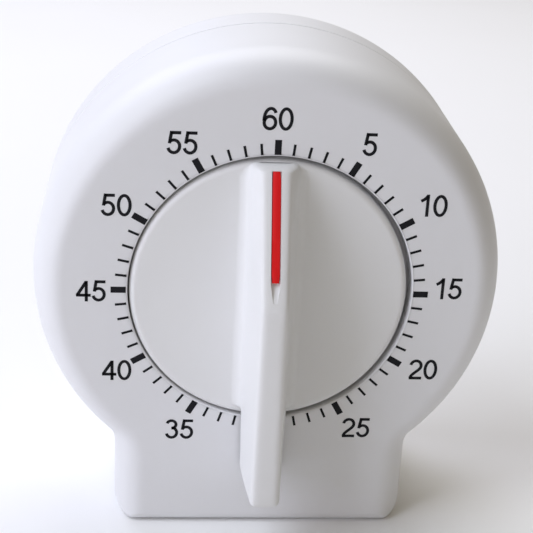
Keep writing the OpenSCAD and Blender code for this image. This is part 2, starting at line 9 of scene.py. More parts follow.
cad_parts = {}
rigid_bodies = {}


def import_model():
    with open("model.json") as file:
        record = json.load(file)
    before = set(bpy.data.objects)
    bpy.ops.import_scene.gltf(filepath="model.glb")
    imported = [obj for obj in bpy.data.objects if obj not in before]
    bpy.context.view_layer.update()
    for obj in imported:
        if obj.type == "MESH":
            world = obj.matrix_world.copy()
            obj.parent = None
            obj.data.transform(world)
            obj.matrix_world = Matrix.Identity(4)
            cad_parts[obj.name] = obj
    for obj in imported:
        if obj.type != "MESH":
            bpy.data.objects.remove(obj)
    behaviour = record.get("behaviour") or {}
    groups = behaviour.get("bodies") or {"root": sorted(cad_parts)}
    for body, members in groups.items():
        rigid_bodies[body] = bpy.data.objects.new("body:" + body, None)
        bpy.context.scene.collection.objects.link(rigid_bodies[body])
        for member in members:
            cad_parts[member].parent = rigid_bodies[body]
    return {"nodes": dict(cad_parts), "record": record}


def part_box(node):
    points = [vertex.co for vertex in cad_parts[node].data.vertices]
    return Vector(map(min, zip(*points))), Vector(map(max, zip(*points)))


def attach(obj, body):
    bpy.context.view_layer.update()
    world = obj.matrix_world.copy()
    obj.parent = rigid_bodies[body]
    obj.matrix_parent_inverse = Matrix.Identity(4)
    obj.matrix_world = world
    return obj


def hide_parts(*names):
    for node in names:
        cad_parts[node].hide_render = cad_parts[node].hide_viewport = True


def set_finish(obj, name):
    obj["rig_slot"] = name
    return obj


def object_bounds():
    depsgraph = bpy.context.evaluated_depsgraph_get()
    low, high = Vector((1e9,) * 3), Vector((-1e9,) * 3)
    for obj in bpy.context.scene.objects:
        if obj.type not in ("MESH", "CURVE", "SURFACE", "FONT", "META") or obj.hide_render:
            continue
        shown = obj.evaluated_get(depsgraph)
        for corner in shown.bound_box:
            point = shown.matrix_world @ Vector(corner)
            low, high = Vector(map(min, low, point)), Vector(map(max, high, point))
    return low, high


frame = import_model()

bl_info = {
    "name": "Kitchen timer",
    "version": (1, 0, 0),
    "blender": (4, 5, 0),
    "location": "3D View > Sidebar > Timer",
    "description": "Models the case, dial print, knob, finishes and stage of a wind-up kitchen timer",
    "category": "Object",
}

MM = 0.001

# ---- Places taken from the frame ----

CAD_BOX = [list(corner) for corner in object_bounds()]
SHELL_LOW, SHELL_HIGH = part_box("front_shell")
_, COVER_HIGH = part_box("rear_cover")
KNOB_LOW, KNOB_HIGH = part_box("dial_knob")

FACE_Y = SHELL_LOW.y
DRUM_R = (SHELL_HIGH.x - SHELL_LOW.x) / 2
DIAL_Z = SHELL_HIGH.z - DRUM_R
BODY_DEPTH = COVER_HIGH.y - FACE_Y
SEAM_DEPTH = SHELL_HIGH.y - FACE_Y
KNOB_R = (KNOB_HIGH.x - KNOB_LOW.x) / 2
LEVER_HEIGHT = FACE_Y - KNOB_LOW.y
LEVER_END = DIAL_Z - KNOB_LOW.z
KNOB_DEPTH = KNOB_HIGH.y - FACE_Y

# ---- Fixed measures ----

# Sides of the round screw bosses, of the screw bores and of the knob's disc
BOSS_SIDES, BORE_SIDES, KNOB_SIDES = 32, 40, 180

# Cover screws: the upper two from the axis, the lower two in from the foot's sides
SCREW_REACH = 37.2 * MM
SCREW_INSET = 5.5 * MM
SCREW_HEAD_R = 2.9 * MM

# A boss stops this short of the seam, so that it doesn't touch the boss behind it
SLIP = 0.02 * MM

# How far the print reaches into the face
PRINT_BED = 0.01 * MM

# Distance between two plain sections of the lever
SECTION_STEP = 1.5 * MM

# Points closer than the first length are merged, edges shorter than the second are dissolved
DOUBLE, SLIVER = 0.002 * MM, 0.001 * MM

FLOOR_SIZE = 8.0
FLOOR_GAP = 0.05 * MM


def number(name, default, description, **options):
    """A number with the options of its kind."""
    return FloatProperty(name=name, description=description, default=default, **options)


def length(name, default, description):
    """A size in metres that the sidebar shows as a length."""
    return number(name, default, description, min=0.0, unit="LENGTH", precision=5)


def colour(name, default, description):
    """A linear colour with a colour picker."""
    return FloatVectorProperty(
        name=name, description=description, default=default, size=3, min=0.0, max=1.0, subtype="COLOR"
    )


def share(name, default, description):
    """A plain number from 0 to 1."""
    return number(name, default, description, min=0.0, max=1.0, subtype="FACTOR")


def angle(name, default, description):
    """An angle in radians that the sidebar shows in degrees."""
    return number(name, math.radians(default), description, subtype="ANGLE")


# ---- Sizes and colours that a user would change ----


class TimerCase(bpy.types.PropertyGroup):
    foot_width: length("Foot width", 56 * MM, "Width of the foot that the drum stands on")
    wall: length("Wall", 2.2 * MM, "Wall thickness of both shells")
    edge_inset: length("Edge inset", 5.5 * MM, "Radial size of the rounding round the dial face")
    edge_depth: length("Edge depth", 9 * MM, "Depth over which the drum's front edge is rounded")
    foot_edge_depth: length(
        "Foot edge depth", 6.5 * MM, "Depth over which the foot's upright edges are rounded"
    )
    toe_inset: length("Toe inset", 2.4 * MM, "Height of the rounding along the foot's lower front edge")
    toe_depth: length("Toe depth", 2.2 * MM, "Depth of the rounding along the foot's lower front edge")
    corner_r: length("Corner radius", 3.8 * MM, "Radius of the foot's lower corners")
    neck_r: length("Neck radius", 4.5 * MM, "Fillet between the foot and the drum")
    rear_r: length("Rear radius", 4 * MM, "Rounding of the back edge")
    heel_r: length("Heel radius", 1.5 * MM, "Rounding of the foot's lower back edge")
    seam_gap: length("Seam gap", 0.3 * MM, "Open joint between the two shells")
    seam_soft: length("Seam edge", 0.35 * MM, "Rounding of the two edges at the seam")
    well_gap: length("Well gap", 0.6 * MM, "Gap between the knob and its opening")
    well_depth: length("Well depth", 4.6 * MM, "Depth of the recess behind the knob")
    slot_width: length("Slot width", 2.2 * MM, "Width of a sound slot in the back")
    slot_field: length("Slot field", 20 * MM, "Radius of the slotted field")
    slot_count: IntProperty(name="Slots", description="Number of sound slots", default=9, min=3, max=13)


class TimerDial(bpy.types.PropertyGroup):
    tick_radius: length("Minute radius", 27.0 * MM, "Radius of the middle of the minute marks")
    tick_length: length("Minute length", 2.05 * MM, "Length of a minute mark")
    tick_width: length("Minute width", 0.45 * MM, "Width of a minute mark")
    bar_radius: length("Five minute radius", 27.3 * MM, "Radius of the middle of the five minute bars")
    bar_length: length("Five minute length", 2.7 * MM, "Length of a five minute bar")
    bar_width: length("Five minute width", 1.17 * MM, "Width of a five minute bar")
    numeral_height: length("Numeral height", 4.15 * MM, "Height of the numerals")
    stroke: share("Stroke", 0.135, "Stroke of the numerals as a share of their height")
    ink_film: length("Ink film", 0.03 * MM, "How far the print stands proud of the face")


class TimerKnob(bpy.types.PropertyGroup):
    rim_r: length("Rim radius", 1.2 * MM, "Rounding of the disc's rim")
    base_half: length("Lever half width", 4.15 * MM, "Half the lever's width where it meets the disc")
    fillet: length("Fillet", 2.2 * MM, "Fillet where the lever grows out of the disc")
    pointer_end: length("Pointer end", 24.4 * MM, "Reach of the pointer end from the axis")
    pointer_height: length("Pointer height", 3.4 * MM, "Height of the lever at its pointer end")
    pointer_half: length("Pointer half width", 2.65 * MM, "Half the crest's width at the pointer end")
    peak: length("Peak", 2.6 * MM, "Distance from the axis at which the slope meets the level crest")
    peak_half: length("Peak half width", 2.35 * MM, "Half the crest's width at the axis")
    tip_half: length("Tip half width", 2.6 * MM, "Half the crest's width at the tip")
    tip_base: length("Tip base", 3.95 * MM, "Half the lever's width at the foot of its tip")
    tip_run: length("Tip run", 1.3 * MM, "Length over which the tip is rounded")
    tip_round: length("Tip rounding", 0.9 * MM, "How far the tip's sides and crest are taken in")
    crest_soft: length("Crest edge", 1.1 * MM, "Rounding of the crest's edges")
    clearance: length("Clearance", 1.0 * MM, "Room between the overhanging lever and the face")
    strip_width: length("Strip width", 1.5 * MM, "Width of the red pointer strip")
    strip_end: length("Strip end", 7.0 * MM, "Distance of the strip's inner end from the axis")
    groove_end: length("Groove end", 4.0 * MM, "Distance of the groove's tapered end from the axis")
    off_centre: length("Off centre", 0.35 * MM, "How far disc and lever sit left of the axis")
    sag: length("Sag", 0.2 * MM, "How far the disc's rim sits below the axis")


class TimerFinish(bpy.types.PropertyGroup):
    shell: colour("Shell", (0.80, 0.80, 0.815), "Moulded plastic of both shells")
    knob: colour("Knob", (0.82, 0.82, 0.82), "Moulded plastic of the knob")
    ink: colour("Ink", (0.006, 0.006, 0.008), "Ink of the dial print")
    red: colour("Red", (0.80, 0.002, 0.005), "Pointer strip")
    steel: colour("Steel", (0.60, 0.60, 0.61), "Arbors, screws and levers")
    plate: colour("Plate brass", (0.70, 0.50, 0.22), "Stamped plates")
    wheel: colour("Wheel brass", (0.78, 0.56, 0.24), "Toothed wheels")
    blued: colour("Blued steel", (0.06, 0.09, 0.20), "Springs")
    chrome: colour("Bell plating", (0.78, 0.77, 0.75), "Bell")
    gloss: share("Plastic roughness", 0.48, "Roughness of the moulded plastic")


class TimerStage(bpy.types.PropertyGroup):
    azimuth: angle("Azimuth", -4.98, "Direction of the camera round the timer")
    elevation: angle("Elevation", 22.985, "Height angle of the camera")
    roll: angle("Roll", 2.945, "Turn of the camera about its own axis")
    distance: length("Distance", 239.4 * MM, "Camera to the dial face")
    aim_x: number("Aim across", -0.985 * MM, "Aim beside the axis", unit="LENGTH")
    aim_z: number("Aim up", 5.0 * MM, "Aim above the axis", unit="LENGTH")
    lens: number("Lens", 90.6, "Focal length in millimetres", subtype="DISTANCE_CAMERA")
    window: number("Window", 2.5, "Power of the light from the front left")
    high: number("High", 3.0, "Power of the light from high on the left")
    rim: number("Rim", 2.0, "Power of the light from behind on the left")
    back: number("Back", 2.1, "Power of the light on the floor behind")
    reach: number("Reach", 0.8, "Distance of the lights", unit="LENGTH")
    box: number("Soft box", 0.45, "Width of each light", unit="LENGTH")
    ambient: share("Ambient", 0.223, "Strength of the even room light")
    room: colour("Room", (1.0, 0.88, 0.66), "Colour of the even room light")
    floor: colour("Floor", (0.92, 0.92, 0.92), "Pale floor")


# ---- Modelling helpers ----


def at_dial(across, depth, up):
    """A point given from the middle of the dial face."""
    return Vector((across, FACE_Y + depth, DIAL_Z + up))


def bench_clear():
    """Object mode with nothing selected."""
    if bpy.context.mode != "OBJECT":
        bpy.ops.object.mode_set(mode="OBJECT")
    bpy.ops.object.select_all(action="DESELECT")


def pick(piece):
    """Makes one piece the only selected and active one."""
    bench_clear()
    piece.select_set(True)
    bpy.context.view_layer.objects.active = piece


def skin(name, rings, closed=False):
    """A solid drawn as one ring of edges that is extruded from outline to outline.
    A closed skin is bridged back to its first ring; an open one gets an end face on both ends."""
    bench_clear()
    bpy.ops.mesh.primitive_circle_add(vertices=len(rings[0]), radius=DRUM_R)
    piece = bpy.context.object
    piece.name = piece.data.name = name
    bpy.ops.object.mode_set(mode="EDIT")
    mesh = bmesh.from_edit_mesh(piece.data)
    place = mesh.verts.layers.int.new("place")
    for number, vert in enumerate(mesh.verts):
        vert[place] = number
        vert.co = rings[0][number]
    bmesh.update_edit_mesh(piece.data)
    for ring in rings[1:]:
        bpy.ops.mesh.extrude_region_move()
        mesh = bmesh.from_edit_mesh(piece.data)
        place = mesh.verts.layers.int["place"]
        for vert in mesh.verts:
            if vert.select:
                vert.co = ring[vert[place]]
        bmesh.update_edit_mesh(piece.data)
    bpy.ops.mesh.select_all(action="DESELECT")
    bpy.ops.mesh.select_mode(type="EDGE")
    bpy.ops.mesh.select_non_manifold()
    if closed:
        bpy.ops.mesh.bridge_edge_loops()
    else:
        bpy.ops.mesh.fill_holes(sides=0)
    bpy.ops.mesh.select_mode(type="VERT")
    bpy.ops.mesh.select_all(action="SELECT")
    bpy.ops.mesh.normals_make_consistent(inside=False)
    mesh = bmesh.from_edit_mesh(piece.data)
    mesh.verts.layers.int.remove(mesh.verts.layers.int["place"])
    if mesh.calc_volume(signed=True) < 0:
        bpy.ops.mesh.flip_normals()
    bpy.ops.object.mode_set(mode="OBJECT")
    place_in_mesh(piece)
    return piece


def place_in_mesh(piece):
    """The object goes back to the origin and keeps its place in its mesh."""
    pick(piece)
    bpy.ops.object.transform_apply(location=True, rotation=True, scale=True)


def join(piece, others):
    """Makes several pieces one."""
    pick(piece)
    for other in others:
        other.select_set(True)
    bpy.ops.object.join()
    return piece


def combine(piece, tools, operation):
    """Cuts the tools out of a piece, or grows them onto it, and throws them away."""
    for tool in tools:
        pick(piece)
        bpy.ops.object.modifier_add(type="BOOLEAN")
        modifier = piece.modifiers[-1]
        modifier.operation = operation
        modifier.solver = "EXACT"
        modifier.object = tool
        bpy.ops.object.modifier_apply(modifier=modifier.name)
        bpy.data.objects.remove(tool)
    if not piece.data.polygons:
        raise RuntimeError(f"{piece.name} lost its faces in a {operation.lower()}")


def tidy_surface(piece, crease):
    """Merges stray doubles, then shades smooth with flats kept flat."""
    pick(piece)
    bpy.ops.object.mode_set(mode="EDIT")
    bpy.ops.mesh.select_all(action="SELECT")
    bpy.ops.mesh.remove_doubles(threshold=DOUBLE)
    bpy.ops.mesh.dissolve_degenerate(threshold=SLIVER)
    bpy.ops.object.mode_set(mode="OBJECT")
    bpy.ops.object.shade_smooth_by_angle(angle=math.radians(crease))
    bpy.ops.object.modifier_add(type="WEIGHTED_NORMAL")
    piece.modifiers[-1].keep_sharp = True
    bpy.ops.object.modifier_apply(modifier=piece.modifiers[-1].name)


def circle(radius, depth, count, centre=(0.0, 0.0)):
    """A ring of points parallel to the dial face."""
    return [
        at_dial(centre[0] + radius * math.cos(t), depth, centre[1] + radius * math.sin(t))
        for t in (2 * math.pi * i / count for i in range(count))
    ]


def turned(name, profile, count, centre=(0.0, 0.0), closed=False):
    """A turned solid: its profile is a list of (radius, depth)."""
    return skin(name, [circle(r, d, count, centre) for r, d in profile], closed)


def quarter(steps):
    """(1 - sin, 1 - cos) over a quarter turn: the way in from a side and back from an end."""
    turns = [math.pi / 2 * i / steps for i in range(steps + 1)]
    return [(1 - math.sin(t), 1 - math.cos(t)) for t in turns]


def blend(a, b, t):
    """A smooth step from a to b."""
    t = min(max(t, 0.0), 1.0)
    return a + (b - a) * t * t * (3 - 2 * t)


# ---- Case ----


DRUM_STEPS, NECK_STEPS, SIDE_STEPS, CORNER_STEPS, SOLE_STEPS = 66, 12, 8, 8, 14


def arc(centre, radius, start, end, steps):
    """Points of an arc with both ends."""
    return [
        (centre[0] + radius * math.cos(t), centre[1] + radius * math.sin(t))
        for t in (start + (end - start) * i / steps for i in range(steps + 1))
    ]


def right_half(case, inset, lift):
    """Right half of the case outline from the middle of the sole to the top of the drum.
    inset is the way in from drum and sides, lift the way up from the sole.
    Each point has the name of its stretch and its share of the way along it."""
    side = case.foot_width / 2
    sole = -DIAL_Z + lift
    corner = max(case.corner_r - inset, 0.8 * MM)
    neck_x = side + case.neck_r
    neck_z = -math.sqrt((DRUM_R + case.neck_r) ** 2 - neck_x ** 2)
    corner_at = (side - inset - corner, sole + corner)
    flat = corner_at[0]
    points = [(flat * i / SOLE_STEPS, sole, "sole", 0) for i in range(SOLE_STEPS)]
    for i, p in enumerate(arc(corner_at, corner, -math.pi / 2, 0, CORNER_STEPS)):
        points.append((*p, "corner", i / CORNER_STEPS))
    low, high = corner_at[1], neck_z
    for i in range(1, SIDE_STEPS):
        points.append((side - inset, low + (high - low) * i / SIDE_STEPS, "side", i / SIDE_STEPS))
    towards = math.atan2(-neck_z, -neck_x)
    for i, p in enumerate(arc((neck_x, neck_z), case.neck_r + inset, math.pi, towards, NECK_STEPS)):
        points.append((*p, "neck", i / NECK_STEPS))
    for p in arc((0, 0), DRUM_R - inset, math.atan2(neck_z, neck_x), math.pi / 2, DRUM_STEPS)[1:]:
        points.append((*p, "drum", 0))
    return points


def edge_depths(case, drum, side, sole):
    """Depth of an edge rounding for each point of the right half."""
    depths = {
        "sole": lambda t: sole,
        "corner": lambda t: blend(sole, side, t),
        "side": lambda t: side,
        "neck": lambda t: blend(side, drum, t),
        "drum": lambda t: drum,
    }
    return [depths[name](t) for _, _, name, t in right_half(case, 0, 0)]


def outline(case, inset, lift, depths):
    """A full ring of the case. depths is one depth, or one for each point of the right half."""
    half = [(x, z) for x, z, _, _ in right_half(case, inset, lift)]
    if not isinstance(depths, list):
        depths = [depths] * len(half)
    right = [at_dial(x, d, z) for (x, z), d in zip(half, depths)]
    left = [at_dial(-x, d, z) for (x, z), d in zip(half, depths)]
    return right + left[-2:0:-1]


def face_ring(case, radius, depth):
    """A round ring with its points in line with those of the outline."""
    turns = [math.atan2(p.z - DIAL_Z, p.x) for p in outline(case, case.edge_inset, case.toe_inset, 0.0)]
    return [at_dial(radius * math.cos(t), depth, radius * math.sin(t)) for t in turns]


def boss_places(case):
    """Middle of each of the four cover screws, from the axis."""
    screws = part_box("cover_screws")
    reach = SCREW_REACH * math.sqrt(0.5)
    low = screws[0].z + SCREW_HEAD_R - DIAL_Z
    wide = case.foot_width / 2 - SCREW_INSET
    return [(reach, reach), (-reach, reach), (wide, low), (-wide, low)]


class TIMER_OT_front_shell(bpy.types.Operator):
    """Model the front shell with its dial face, recess and screw bosses"""

    bl_idname = "timer.front_shell"
    bl_label = "Front shell"

    def execute(self, context):
        case = context.scene.timer_case
        open_r = KNOB_R + case.well_gap
        soft = 0.25 * MM
        well_wall, floor_wall, hub_r = 1.8 * MM, 1.6 * MM, 5.6 * MM
        support = 0.4 * MM
        rings = [face_ring(case, hub_r, case.well_depth)]
        rings.append(face_ring(case, open_r - 0.3 * MM, case.well_depth))
        rings.append(face_ring(case, open_r, case.well_depth - 0.3 * MM))
        rings.append(face_ring(case, open_r, soft + 0.2 * MM))
        rings += [face_ring(case, open_r + soft * back, soft * way) for way, back in quarter(4)[::-1]]
        rings.append(face_ring(case, open_r + soft + support, 0.0))
        rings.append(outline(case, case.edge_inset + support, case.toe_inset + support, 0.0))
        full = edge_depths(case, case.edge_depth, case.foot_edge_depth, case.toe_depth)
        for way, back in quarter(14):
            rings.append(outline(case, case.edge_inset * way, case.toe_inset * way, [d * back for d in full]))
        rings.append(outline(case, 0.0, 0.0, case.edge_depth + support))
        for way, back in quarter(3)[::-1]:
            inset = case.seam_soft * way
            rings.append(outline(case, inset, inset, SEAM_DEPTH - case.seam_soft * back))
        rings.append(outline(case, case.wall, case.wall, SEAM_DEPTH))
        rings.append(outline(case, case.wall, case.wall, SEAM_DEPTH - support))
        for way, back in quarter(8)[::-1]:
            rings.append(outline(
                case, case.wall + case.edge_inset * way, case.wall + case.toe_inset * way,
                [case.wall + d * back for d in full],
            ))
        back_depth = case.well_depth + floor_wall
        rings.append(face_ring(case, open_r + well_wall, case.wall))
        rings.append(face_ring(case, open_r + well_wall, back_depth))
        rings.append(face_ring(case, hub_r, back_depth))
        shell = skin("front_shell_moulding", rings, closed=True)
        boss_r, screw_r, start, tip = 3.4 * MM, 1.5 * MM, 5.8 * MM, 14 * MM
        end = SEAM_DEPTH - SLIP
        profile = [(boss_r, start), (boss_r, end), (screw_r, end), (screw_r, tip)]
        join(shell, [turned("boss", profile, BOSS_SIDES, place) for place in boss_places(case)])
        tidy_surface(shell, 32)
        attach(shell, "case")
        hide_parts("front_shell")
        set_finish(shell, "shell_plastic")
        return {"FINISHED"}


def stadium(half_long, half_wide, depth, across):
    """An upright slot outline with round ends."""
    top = arc((across, half_long - half_wide), half_wide, 0, math.pi, 8)
    foot = arc((across, half_wide - half_long), half_wide, math.pi, 2 * math.pi, 8)
    return [at_dial(x, depth, z) for x, z in top + foot]


class TIMER_OT_rear_cover(bpy.types.Operator):
    """Model the rear cover with its sound slots, counterbores and locating lip"""

    bl_idname = "timer.rear_cover"
    bl_label = "Rear cover"

    def execute(self, context):
        case = context.scene.timer_case
        start = SEAM_DEPTH + case.seam_gap
        inner_r = 2 * MM
        lip_gap, lip_wall, lip_reach = 0.1 * MM, 1.4 * MM, 1.8 * MM
        wall_end, lip_root = 1.4 * MM, 1.0 * MM
        soft, support = case.seam_soft, 0.4 * MM
        lip_out = case.wall + lip_gap
        lip_in = lip_out + lip_wall
        bed = BODY_DEPTH - case.wall
        inner = edge_depths(case, inner_r, inner_r, inner_r)
        rings = []
        for way, back in quarter(6):
            inset = case.wall + inner_r * way
            rings.append(outline(case, inset, inset, [bed - d * back for d in inner]))
        rings.append(outline(case, case.wall, case.wall, start + wall_end))
        rings.append(outline(case, lip_in, lip_in, start + lip_root))
        rings.append(outline(case, lip_in, lip_in, SEAM_DEPTH - lip_reach))
        rings.append(outline(case, lip_out, lip_out, SEAM_DEPTH - lip_reach))
        rings.append(outline(case, lip_out, lip_out, start))
        for way, back in quarter(3):
            inset = soft * way
            rings.append(outline(case, inset, inset, start + soft * back))
        rear = edge_depths(case, case.rear_r, case.rear_r, case.heel_r)
        rings.append(outline(case, 0.0, 0.0, [BODY_DEPTH - d - support for d in rear]))
        for way, back in quarter(10)[::-1]:
            rings.append(outline(
                case, case.rear_r * way, case.heel_r * way, [BODY_DEPTH - d * back for d in rear]
            ))
        rings.append(outline(case, case.rear_r + support, case.heel_r + support, BODY_DEPTH))
        cover = skin("rear_cover_moulding", rings)
        places = boss_places(case)
        relief_r, relief_depth, boss_r = 3.8 * MM, 3 * MM, 4.2 * MM
        profile = [(relief_r, SEAM_DEPTH - relief_depth), (relief_r, SEAM_DEPTH)]
        combine(cover, [turned("relief", profile, BOSS_SIDES, place) for place in places], "DIFFERENCE")
        profile = [(boss_r, SEAM_DEPTH + SLIP), (boss_r, BODY_DEPTH - case.wall / 2)]
        combine(cover, [turned("boss", profile, BOSS_SIDES, place) for place in places], "UNION")
        proud, bevel, seat = 0.1 * MM, 0.3 * MM, BODY_DEPTH - 5 * MM
        bore, shank, overcut = 3.2 * MM, 1.7 * MM, 1 * MM
        profile = [(shank, SEAM_DEPTH - overcut), (shank, seat), (bore, seat), (bore, BODY_DEPTH - bevel)]
        profile.append((bore + bevel + proud, BODY_DEPTH + proud))
        cutters = [turned("bore", profile, BORE_SIDES, place) for place in places]
        pitch = 2 * case.slot_field / case.slot_count
        half = case.slot_width / 2
        for i in range(case.slot_count):
            across = (i - (case.slot_count - 1) / 2) * pitch
            reach = math.sqrt(case.slot_field ** 2 - (abs(across) + half / 2) ** 2)
            cutters.append(skin("slot", [
                stadium(reach, half, bed - overcut, across),
                stadium(reach, half, BODY_DEPTH - bevel, across),
                stadium(reach + bevel + proud, half + bevel + proud, BODY_DEPTH + proud, across),
            ]))
        combine(cover, cutters, "DIFFERENCE")
        tidy_surface(cover, 32)
        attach(cover, "case")
        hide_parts("rear_cover")
        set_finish(cover, "shell_plastic")
        return {"FINISHED"}


# ---- Dial print ----

# Middle of each numeral, in millimetres right of and above the axis
NUMERALS = {
    60: (-0.3, 32.4), 5: (15.9, 28.2), 10: (27.9, 17.2), 15: (32.2, 1.2),
    20: (29.2, -15.3), 25: (17.5, -27.8), 30: (0.0, -32.4), 35: (-15.8, -28.4),
    40: (-27.5, -16.1), 45: (-32.1, -0.3), 50: (-27.7, 16.1), 55: (-16.5, 27.7),
}
# Width of a digit and the step to the next one, as shares of its height
DIGIT_WIDTH = 0.62
DIGIT_STEP = 0.67


def bow(centre, radii, start, end, steps=16):
    """Part of an ellipse, angles in degrees."""
    turns = [math.radians(start + (end - start) * i / steps) for i in range(steps + 1)]
    return [(centre[0] + radii[0] * math.cos(t), centre[1] + radii[1] * math.sin(t)) for t in turns]


def sweep(a, b, c, d, steps=12):
    """A Bezier curve."""
    curve = []
    for i in range(steps + 1):
        t = i / steps
        weights = ((1 - t) ** 3, 3 * t * (1 - t) ** 2, 3 * t * t * (1 - t), t ** 3)
        curve.append(tuple(sum(w * p[k] for w, p in zip(weights, (a, b, c, d))) for k in (0, 1)))
    return curve


def digit_strokes(digit, pen):
    """Middle lines of a digit one unit high, each with True where it is a closed loop."""
    low, high = pen / 2, 1 - pen / 2
    left, right, middle = pen / 2, DIGIT_WIDTH - pen / 2, DIGIT_WIDTH / 2
    half = middle - pen / 2
    if digit == "0":
        return [(bow((middle, 0.5), (half, high - 0.5), 0, 360, 32)[:-1], True)]
    if digit == "1":
        flag = sweep((0.40, 0.93), (0.34, 0.82), (0.24, 0.75), (0.13, 0.70))
        return [([(0.42, 0.0), (0.42, 1.0)], False), (flag, False)]
    if digit == "2":
        turn = bow((middle, high - 0.24), (half - 0.01, 0.24), 172, -8)
        fall = sweep(turn[-1], (right - 0.02, 0.46), (left + 0.04, 0.30), (left + 0.02, low))
        return [(turn + fall[1:], False), ([(left - 0.03, low), (DIGIT_WIDTH - 0.02, low)], False)]
    if digit == "3":
        upper = bow((middle - 0.02, high - 0.195), (half - 0.04, 0.195), 165, -90)
        lower = bow((middle - 0.01, low + 0.25), (half - 0.01, 0.25), 90, -168)
        return [(upper, False), (lower, False)]
    if digit == "4":
        stem, slope = [(0.44, 0.0), (0.44, 0.96)], [(0.44, 0.93), (0.055, 0.30)]
        bar = [(0.0, 0.29), (0.63, 0.29)]
        return [(stem, False), (slope, False), (bar, False)]
    if digit == "5":
        bowl = bow((middle - 0.015, low + 0.275), (half, 0.275), 128, -165)
        roof, stem = [(0.59, high), (0.175, high)], [(0.20, high + pen / 2), (0.115, 0.47)]
        return [(roof, False), (stem, False), (bowl, False)]
    bowl = bow((middle + 0.005, low + 0.265), (half - 0.005, 0.265), 0, 360, 28)[:-1]
    back = sweep((right - 0.01, 0.75), (right - 0.06, 1.02), (left, 1.06), (left, 0.40))
    return [(bowl, True), (back, False)]


def stroke_rings(line, closed, pen, base, top):
    """Rings of a flat stroke along a middle line of (x, y)."""
    rings = []
    count = len(line)
    for i, (x, y) in enumerate(line):
        before = line[i - 1] if closed or i else line[i]
        after = line[(i + 1) % count] if closed or i < count - 1 else line[i]
        along = Vector((after[0] - before[0], after[1] - before[1])).normalized()
        side = Vector((-along.y, along.x)) * pen / 2
        rings.append([
            Vector((x + side.x, top, y + side.y)), Vector((x - side.x, top, y - side.y)),
            Vector((x - side.x, base, y - side.y)), Vector((x + side.x, base, y + side.y)),
        ])
    return rings


def model_digit(digit, dial):
    """One digit at the origin, standing upright and facing the viewer."""
    height = dial.numeral_height
    strokes = []
    for line, closed in digit_strokes(digit, dial.stroke):
        line = [(x * height, y * height) for x, y in line]
        rings = stroke_rings(line, closed, dial.stroke * height, PRINT_BED, -dial.ink_film)
        strokes.append(skin(f"digit_{digit}", rings, closed))
    return join(strokes[0], strokes[1:])


def copied(piece, matrix):
    """A copy with its own mesh, moved in its mesh."""
    twin = piece.copy()
    twin.data = piece.data.copy()
    twin.data.transform(matrix)
    bpy.context.scene.collection.objects.link(twin)
    return twin


def model_mark(radius, long, wide, film):
    """One mark at twelve o'clock: a plane just under the face, extruded until it stands proud."""
    bench_clear()
    place = at_dial(0, PRINT_BED, radius)
    bpy.ops.mesh.primitive_plane_add(size=1, location=place, rotation=(math.pi / 2, 0, 0))
    mark = bpy.context.object
    mark.scale = (wide, long, 1)
    place_in_mesh(mark)
    bpy.ops.object.mode_set(mode="EDIT")
    bpy.ops.mesh.select_all(action="SELECT")
    bpy.ops.mesh.extrude_region_move(TRANSFORM_OT_translate={"value": (0, -PRINT_BED - film, 0)})
    bpy.ops.mesh.select_all(action="SELECT")
    bpy.ops.mesh.normals_make_consistent(inside=False)
    bpy.ops.object.mode_set(mode="OBJECT")
    return mark


class TIMER_OT_dial_print(bpy.types.Operator):
    """Print the minute marks, five minute bars and numerals on the face"""

    bl_idname = "timer.dial_print"
    bl_label = "Dial print"

    def execute(self, context):
        dial = context.scene.timer_dial
        axis = at_dial(0, 0, 0)
        tick = model_mark(dial.tick_radius, dial.tick_length, dial.tick_width, dial.ink_film)
        bar = model_mark(dial.bar_radius, dial.bar_length, dial.bar_width, dial.ink_film)
        prints = []
        for minute in range(60):
            turn = Matrix.Rotation(math.radians(6 * minute), 4, "Y")
            about = Matrix.Translation(axis) @ turn @ Matrix.Translation(-axis)
            prints.append(copied(tick if minute % 5 else bar, about))
        digits = {d: model_digit(d, dial) for d in "0123456"}
        height = dial.numeral_height
        for number, (x, z) in NUMERALS.items():
            text = str(number)
            wide = ((len(text) - 1) * DIGIT_STEP + DIGIT_WIDTH) * height
            for place, digit in enumerate(text):
                corner = at_dial(x * MM - wide / 2 + place * DIGIT_STEP * height, 0, z * MM - height / 2)
                prints.append(copied(digits[digit], Matrix.Translation(corner)))
        for model in [tick, bar, *digits.values()]:
            bpy.data.objects.remove(model)
        ink = join(prints[0], prints[1:])
        ink.name = ink.data.name = "dial_print"
        place_in_mesh(ink)
        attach(ink, "case")
        return {"FINISHED"}


# ---- Knob ----


def crest_height(knob, y):
    """Height of the lever's crest above the face, y from the axis towards the pointer."""
    span = knob.pointer_end - knob.peak
    t = (knob.pointer_end - y) / span
    if t >= 1:
        return LEVER_HEIGHT
    rise = LEVER_HEIGHT - knob.pointer_height
    swell = 0.3 * MM
    return knob.pointer_height + rise * t + swell * math.sin(math.pi * t)


def crest_half(knob, y):
    """Half the width of the crest."""
    if y > 0:
        return knob.peak_half + (knob.pointer_half - knob.peak_half) * y / knob.pointer_end
    return knob.peak_half + (knob.tip_half - knob.peak_half) * -y / LEVER_END


def rounding(t):
    """How far a quarter round goes in, from 0 at t = 0 to 1 at t = 1."""
    return 1 - math.sqrt(max(0.0, 1 - t * t))


def plain_sections(start, end):
    """Sections with no rounding, one step apart, from start down to end."""
    sections = []
    while start > end:
        sections.append((start, 0.0, 0.0))
        start -= SECTION_STEP
    return sections


